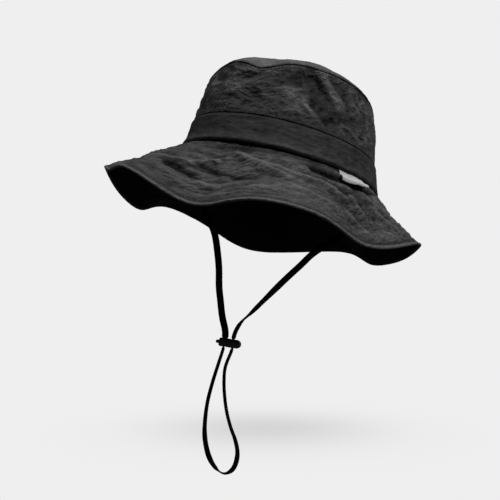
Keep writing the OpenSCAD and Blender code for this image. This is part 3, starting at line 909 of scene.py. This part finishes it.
def seamed_rows(low, high, step):
    """Rows from one sewn edge to the other, closer together next to them."""
    edge = np.array((0, 0.3, 0.65, 1.05)) * MM
    middle = rows_between(low + 1.6 * MM, high - 1.6 * MM, step)
    return np.concatenate((low + edge, middle, high - edge[::-1]))


def fold_shade_and_highlight(relief):
    """Painted shade in the cloth's folds, and painted highlight on their crests."""
    return 0.27 * np.clip(relief, -2.2 * MM, 2.2 * MM)


def seam_shade(distance):
    """Painted shade along a seam."""
    return dip(distance, 1.5 * MM, 0.9 * MM)


def from_side_seam(a):
    """Distance round the hat from the nearer side seam."""
    return np.abs((a + 90) % 180 - 90) * ARC


def side_seam(a):
    away = from_side_seam(a)
    return dip(away, 0.5 * MM, 1.1 * MM) - dip(away - 2.4 * MM, 0.16 * MM, 1.4 * MM)


def puckers(a, away, height, reach, pitch, seed):
    """Little gathers where a seam draws the cloth in, fading away from it."""
    return height * noise(drum(a, 0 * a, pitch, 1) + seed) * np.exp(-away / reach)


def panel(obj, slot, material, node, plain, cut, held, *rests_on):
    """Finishes a panel of the hat, and works out the flat size of its plain shape, before its folds."""
    piece(obj, "hat", slot, material, node)
    flat = cut(plain)


def oval_panel(obj, slot, material, node):
    """Finishes one of the two ovals of cloth at the crown's top."""
    piece(obj, "hat", slot, material, node)


def strip_cut(grid):
    """Flat size of a panel that is nearly a rectangle."""
    across = max(steps_of(row).sum() for row in (grid[0], grid[-1]))
    return float(across), float(steps_of(grid[:, grid.shape[1] // 2]).sum())


def closed_cut(grid):
    """Flat size of a strip sewn into a ring, with a little to spare."""
    across, up = strip_cut(grid)
    return across * 1.004, up


def disc_cut(grid):
    """Flat size of the disc that a whole brim's ring is cut from."""
    wide = 2 * float(steps_of(grid[-1]).sum() / (2 * math.pi) + BRIM_W)
    return wide, wide


def ring_cut(grid):
    """Flat size of half a brim's ring."""
    depth = steps_of(grid[:, grid.shape[1] // 2]).sum()
    radius = float(steps_of(grid[-1]).sum() / math.pi + depth)
    return 2 * radius, radius


def crown_out(a, z):
    """How far the middle of the crown's shell stands out, and its tone: its small creases' height, painted shade
    and highlight of its folds, and painted shade along its seams.
    """
    small = np.maximum(crinkle(a, z), -0.34 * MM) * ease((z - BAND_H) / (3 * MM) + 0.3)
    seams = dip(z - BAND_H, 0.2 * MM, 0.5 * MM) + dip(CROWN_H - z, 0.9 * MM, 1.0 * MM)
    stitched = dip(z - BAND_H - 2.5 * MM, 0.2 * MM, 0.8 * MM) + dip(CROWN_H - z - 2.5 * MM, 0.22 * MM, 0.8 * MM)
    drawn = puckers(a, z - BAND_H, 0.35 * MM, 5 * MM, 0.005, 3)
    drawn = drawn + puckers(a, CROWN_H - z, 0.3 * MM, 4 * MM, 0.004, 8)
    # tone: small creases' height, painted shade and highlight of the folds, and painted shade along the seams
    tone = small + fold_shade_and_highlight(wall_relief(a, z)) + seam_shade(z - BAND_H) + seam_shade(CROWN_H - z) + seam_shade(from_side_seam(a))
    return -SHELL_T / 2 + small + seams + stitched + drawn + side_seam(a), tone


def crown_side(name, node, span):
    a, z = np.meshgrid(columns(span, FINE), seamed_rows(BAND_H + 0.35 * MM, CROWN_H - 0.15 * MM, FINE))
    out, tone = crown_out(a, z)
    obj = cloth(name, wall_layer(a, z, out), SHELL_T * 0.8, tone)
    panel(obj, "outer_cloth", outer_cloth, node, wall(a, z), strip_cut, "draped", "lining_wall")


def band_out(a, z):
    creases = 0.3 * MM * crumple(drum(a, z, 0.03, 0.0055) + 23, 3)
    creases = creases + 0.1 * MM * crumple(drum(a, z, 0.005, 0.004) + 41, 2)
    lean = 1 - 0.75 * bell(a, 0, 45) + 0.35 * bell(a, 180, 40)
    proud = 1.7 * MM * lean * hump(z, 5 * MM) + 0.25 * MM * hump(BAND_H - z, 3 * MM)
    turned = dip(BAND_H - z, 1.9 * MM, 1.2 * MM) + dip(z + 0.6 * MM, 0.7 * MM, 0.8 * MM)
    drawn = puckers(a, z, 0.35 * MM, 5 * MM, 0.006, 15) + puckers(a, BAND_H - z, 0.22 * MM, 4 * MM, 0.005, 19)
    # tone: creases' height, and painted shade along the seams
    tone = creases + seam_shade(BAND_H - z) + seam_shade(z) + seam_shade(from_side_seam(a))
    return 0.65 * MM + creases + proud + turned + drawn + side_seam(a), tone


def band_panel(name, node, span):
    a, z = np.meshgrid(columns(span, FINE), seamed_rows(-0.6 * MM, BAND_H - 0.3 * MM, 0.8 * MM))
    out, tone = band_out(a, z)
    scallops = (0.5 + 0.9 * bell(a, -40, 14)) * MM * noise(drum(a, 0 * a, 0.0075, 1) + 44)
    obj = cloth(name, wall_layer(a, z + scallops * np.exp(-np.maximum(z, 0) / (3 * MM)), out), 0.9 * MM, tone)
    panel(obj, "outer_cloth", band_cloth, node, wall(a, z), strip_cut, "stretched", "lining_wall")


def crown_lid(name, node):
    a, r = np.meshgrid(round_columns(560), 1 - np.linspace(0, 0.985, 84) ** 1.05)
    edge = (1 - r) * HALF_W * CROWN_TAPER
    at = lid(a, r)
    small = 0.42 * MM * crumple(at / 0.017 + 61, 3, 0.06) + 0.1 * MM * crumple(at / 0.006 + 67, 2)
    small = np.maximum(small, -0.3 * MM) * ease(edge / (4 * MM) + 0.3)
    rim = dip(edge, 0.7 * MM, 1.2 * MM) - dip(edge - 2.5 * MM, 0.15 * MM, 1.6 * MM)
    drawn = puckers(a, edge, 0.35 * MM, 4 * MM, 0.004, 8)
    # painted highlight: a pale patch at the front of the top, over a slight paleness of the whole top
    tone_with_painted_light = 0.45 * MM * bell(a, -101, 30) + 0.05 * MM
    # tone: creases' height, that painted highlight, and painted shade along the top seam
    obj = dome_cloth(name, lid_layer(a, r, 0.4 * MM + small + rim + drawn), SHELL_T, small + tone_with_painted_light + seam_shade(edge))
    oval_panel(obj, "outer_cloth", outer_cloth, node)


BRIM_SKIN = 0.65 * MM  # from the middle of the brim to the middle of either skin
EDGE_STITCH = 0.94


def brim_out(a, t):
    """How far above the brim's middle its upper skin lies, and its tone: its small creases' height, a painted
    highlight along the rolled edge, painted shade and highlight of its folds, and painted shade along its seams.
    """
    from_edge = (1 - t) * BRIM_W
    calm = ease(from_edge / (9 * MM) - 0.35)
    small = np.maximum(crinkle(a, t * BRIM_W + 0.2), -0.25 * MM) * (0.25 + 0.75 * calm)
    rows = dip((t - EDGE_STITCH) * BRIM_W, 0.35 * MM, 0.9 * MM) - dip(from_edge - 1.7 * MM, 0.22 * MM, 1.2 * MM)
    drawn = puckers(a, t * BRIM_W, 0.5 * MM, 7 * MM, 0.0055, 27)
    edge_drawn = puckers(a, np.abs(t - EDGE_STITCH) * BRIM_W, 0.22 * MM, 5 * MM, 0.004, 33)
    under_band = dip(t * BRIM_W, 0.5 * MM, 2.5 * MM)
    # painted highlight along the rolled edge, strongest towards the right
    tone_with_painted_light = (0.7 + 0.5 * bell(a, -20, 35)) * MM * ease(1.3 - from_edge / (2.2 * MM))
    # tone: small creases' height, the painted edge highlight, painted shade and highlight of the folds, and
    # painted shade along the seams
    tone = small + tone_with_painted_light + fold_shade_and_highlight(brim_relief(a, t))
    tone = tone + seam_shade((t - EDGE_STITCH) * BRIM_W) + seam_shade(t * BRIM_W) + seam_shade(from_side_seam(a))
    return BRIM_SKIN + small + rows + drawn + edge_drawn + under_band + side_seam(a) * ease(t * 9), tone


def half_turn(centre, away, rise, start):
    """Rows that round a fold, from below it to just short of its top."""
    return [centre + away * math.cos(x) + rise * math.sin(x) for x in np.radians(np.arange(start, 90, 18))]


def brim_upper(name, node, span):
    """The upper skin: it starts underneath, rolls round the edge, and runs up to the band."""
    cols = columns(span, FINE * 1.1)
    flat_rows = rows_between(1 - BRIM_SKIN / BRIM_W, 0.0, FINE / BRIM_W)
    a, t = np.meshgrid(cols, flat_rows)
    shared = brim_layer(a, t, 0)
    n = normals(shared, False)
    out, tone = brim_out(a, t)
    top = shared + n * out[..., None]
    away = edge_row(shared, 0, 1, 1.0)[0] - shared[0]
    roll = half_turn(shared[0], away * BRIM_SKIN, n[0] * out[0, :, None], -90)
    tuck = [shared[k] - n[k] * BRIM_SKIN for k in (2, 1)]
    grid = np.concatenate((tuck, roll, top))
    # tone of the tucked and rolled rows: a painted highlight on the rolled edge
    tone_with_painted_light = 0.7 * MM * np.sin(np.linspace(0, np.pi / 2, len(tuck) + len(roll)))[:, None] * np.ones(len(cols))
    obj = cloth(name, grid, SHELL_T, np.concatenate((tone_with_painted_light, tone)))
    panel(obj, "outer_cloth", shaded_brim_cloth, node, brim(a, t), ring_cut, "hung", "brim_stiffener")


def brim_under(name, node, span):
    a, t = np.meshgrid(columns(span, FINE * 1.4), rows_between(0.962, 0.0, 1.2 * MM / BRIM_W))
    small = 0.16 * MM * crumple(drum(a, t * BRIM_W, 0.012, 0.006) + 53, 3)
    drawn = puckers(a, t * BRIM_W, 0.4 * MM, 7 * MM, 0.005, 37)
    out = -BRIM_SKIN + np.minimum(small + drawn, 0.25 * MM)
    obj = cloth(name, brim_layer(a, t, out), 0.5 * MM, -small)
    panel(obj, "under_cloth", under_cloth, node, brim(a, t), ring_cut, "hung", "brim_stiffener")


def stiffener(name, node):
    a, t = np.meshgrid(round_columns(300), rows_between(0.95, 0.01, COARSE / BRIM_W))
    obj = cloth(name, brim_layer(a, t, 0, True), 0.4 * MM, np.zeros(a.shape), True)
    panel(obj, "interlining", stiffener_felt, node, brim(a, t), disc_cut, "hung")


def lining_wall(name, node):
    a, z = np.meshgrid(round_columns(290), rows_between(-2 * MM, CROWN_H - 0.7 * MM, 1.6 * MM))
    small = 0.16 * MM * noise(drum(a, z, 0.012, 0.014) + 7)
    obj = cloth(name, wall_layer(a, z, -1.25 * MM + small, True), 0.35 * MM, small, True)
    panel(obj, "lining_cloth", lining_cloth, node, wall(a, z), closed_cut, "draped")


def lining_cap(name, node):
    a, r = np.meshgrid(round_columns(260), 0.982 - np.linspace(0, 0.96, 48))
    small = 0.15 * MM * noise(lid(a, r) / 0.012 + 7)
    obj = dome_cloth(name, lid_layer(a, r, -0.35 * MM + small), 0.35 * MM, small)
    oval_panel(obj, "lining_cloth", lining_cloth, node)


def sweatband(name, node):
    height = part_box("sweatband")[1].z
    a, z = np.meshgrid(round_columns(420), rows_between(0.3 * MM, height - 0.3 * MM, 1.0 * MM))
    ribs = 0.14 * MM * noise(drum(a, z, 0.006, 0.05) + 3) + dip(z - 3 * MM, 0.12 * MM, 0.7 * MM)
    folded = 0.1 * MM * hump(height - z, 2 * MM)
    obj = cloth(name, wall_layer(a, z, -2.2 * MM + ribs - folded, True), 0.7 * MM, ribs, True)
    panel(obj, "sweatband_cloth", sweatband_cloth, node, wall(a, z), closed_cut, "stretched", "lining_wall")


def label_inside(name, node):
    a, z = np.meshgrid(np.linspace(81, 99, 46), rows_between(8 * MM, 22 * MM, 0.7 * MM))
    curl = 0.08 * MM * noise(drum(a, z, 0.007, 0.009) + 2)
    obj = cloth(name, wall_layer(a, z, -2.95 * MM - np.abs(curl)), 0.25 * MM, 0 * curl)
    panel(obj, "label", label_satin, node, wall(a, z), strip_cut, "stretched", "sweatband_ring")


LABEL_AZIMUTHS = (-51, -33)
LABEL_SHARES = (0.0, 0.126)
LABEL_PLY = 0.3 * MM


def label_outside(name, node):
    """The small pale tag: a loop of satin whose fold hangs free on the brim."""
    a, t = np.meshgrid(np.linspace(*LABEL_AZIMUTHS, 60), rows_between(*LABEL_SHARES, 0.4 * MM / BRIM_W))
    base = brim_layer(a, t, 0)
    n = normals(base[::-1], False)[::-1]
    reach = ease(t / 0.05)
    under = base + n * (1.25 * MM + 0.25 * MM * reach)[..., None]
    over = base + n * (1.25 * MM + MM * reach)[..., None]
    centre = (under[-1] + over[-1]) / 2
    away = edge_row(base, -1, -2, 1.0)[0] - base[-1]
    fold_rows = half_turn(centre, away * 0.45 * MM, (over[-1] - under[-1]) / 2, -72)
    grid = np.concatenate((under, fold_rows, over[::-1]))
    obj = cloth(name, grid, LABEL_PLY, np.zeros(grid.shape[:2]))
    piece(obj, "hat", "label", label_satin, node)
    strip_cut(grid)


def front_and_rear(make, name, node):
    make(name + "_front", node + "_front", (-180, 0))
    make(name + "_rear", node + "_back", (0, 180))


lining_wall("lining_wall", "lining_side")
lining_cap("lining_cap", "lining_top")
sweatband("sweatband_ring", "sweatband")
label_inside("label_care", "inner_label")
stiffener("brim_stiffener", "brim_interlining")
front_and_rear(brim_under, "brim_under", "brim_lower")
front_and_rear(brim_upper, "brim_top", "brim_upper")
front_and_rear(crown_side, "crown_wall", "crown_side")
crown_lid("crown_cap", "crown_top")
front_and_rear(band_panel, "band_strip", "band")
label_outside("label_tag", "side_label")


# ---- topstitching
def on_cloth(layer, out_of, at, step, lift):
    """Points and normals along one row of the outer cloth, as a function of azimuth."""
    def surface(a):
        places = np.meshgrid(a, (at - step, at, at + step))
        grid = layer(*places, out_of(*places)[0] + lift, True)
        return grid[1], normals(grid, True)[1]
    return surface


SEAM_TO_STITCH = 2.5 * MM
for name, node, surface in (
    ("stitches_crown_top", "crown_top_stitching",
     on_cloth(wall_layer, crown_out, CROWN_H - SEAM_TO_STITCH, 0.5 * MM, SHELL_T * 0.4)),
    ("stitches_band", "band_stitching",
     on_cloth(wall_layer, crown_out, BAND_H + SEAM_TO_STITCH, 0.5 * MM, SHELL_T * 0.4)),
    ("stitches_brim_edge", "brim_edge_stitching",
     on_cloth(brim_layer, brim_out, EDGE_STITCH, -0.5 * MM / BRIM_W, SHELL_T / 2)),
):
    piece(stitch_row(name, surface), "hat", "thread", thread, node)

# ---- stage and light
PAPER = 0.863
SURROUND = 0.075
SHADOW_DEPTH = 0.225
SHADOW_REACH = (0.146, 0.138)  # to the side and away from the camera
SHADOW_AT = 1.1 * Vector((0.020, -0.223, 1))  # to the right, up and ahead of the camera
FLOOR_TILT = math.radians(3)  # between the camera's line of sight and the floor that it sees
VEIL_SIZE = 3.2  # times the shadow's own reach


def floor_shadow():
    """The floor's soft shadow: a veil that dims the paper seen through it."""
    view = scene.camera.matrix_world
    right, up, ahead = view.col[0].to_3d(), view.col[1].to_3d(), -view.col[2].to_3d()
    away = (ahead * math.cos(FLOOR_TILT) - up * math.sin(FLOOR_TILT)).normalized()
    spans = tuple(zip((right, away), SHADOW_REACH))
    rings = [VEIL_SIZE * (SHADOW_REACH[0] * math.cos(t) * right + SHADOW_REACH[1] * math.sin(t) * away)
             for t in np.linspace(0, 2 * np.pi, 48, endpoint=False)]
    veil = link_mesh("floor_shadow", np.array([tuple(r) for r in rings]), [tuple(range(len(rings)))])
    veil.matrix_world = Matrix.Translation(
        view.translation + SHADOW_AT.x * right + SHADOW_AT.y * up + SHADOW_AT.z * ahead)
    material, tree, shader = new_material("floor_shadow")
    tree.nodes.remove(shader)
    place = add_node(tree, "TexCoord", {}, "Object")
    squares = 0.0
    for direction, reach in spans:
        along = add_node(tree, "VectorMath", {0: place, 1: direction / reach}, "Value", operation="DOT_PRODUCT")
        squares = plus(tree, maths(tree, "POWER", maths(tree, "ABSOLUTE", along), 2.0), squares)
    depth = times(tree, maths(tree, "EXPONENT", times(tree, squares, -1.0)), SHADOW_DEPTH)
    clear = add_node(tree, "BsdfTransparent", {"Color": maths(tree, "SUBTRACT", 1.0, depth)})
    set_inputs(tree, tree.nodes["Material Output"], {"Surface": clear})
    veil.data.materials.append(material)


def studio_world():
    """Pale paper for the camera, and a dimmer soft surround for the hat."""
    scene.world = bpy.data.worlds.new("studio")
    scene.world.use_nodes = True
    tree = scene.world.node_tree
    tree.nodes.clear()
    seen = add_node(tree, "Background", {"Color": (PAPER, PAPER, PAPER, 1)})
    around = add_node(tree, "Background", {"Color": (0.96, 0.98, 1, 1), "Strength": SURROUND})
    by_camera = add_node(tree, "LightPath", {}, "Is Camera Ray")
    mixed = add_node(tree, "MixShader", {0: by_camera, 1: around, 2: seen})
    set_inputs(tree, tree.nodes.new("ShaderNodeOutputWorld"), {"Surface": mixed})
    scene.view_settings.view_transform = "Standard"


def soft_light(name, place, aim, power, size=0.2):
    data = bpy.data.lights.new(name, "AREA")
    data.shape = "DISK"
    data.size = size
    data.energy = power
    place, aim = Vector(place), Vector(aim)
    turned = (aim - place).to_track_quat("-Z", "Y").to_matrix().to_4x4()
    add_object(name, data, Matrix.Translation(place) @ turned)


floor_shadow()
studio_world()
soft_light("top", (0, 0.15, 1.4), (0, 0, 0), 12)
soft_light("left", (-0.9, -0.35, 1.05), (0, 0, 0.02), 8.5)
soft_light("right", (0.6, -0.78, 0.98), (0, 0, 0.02), 15.5)
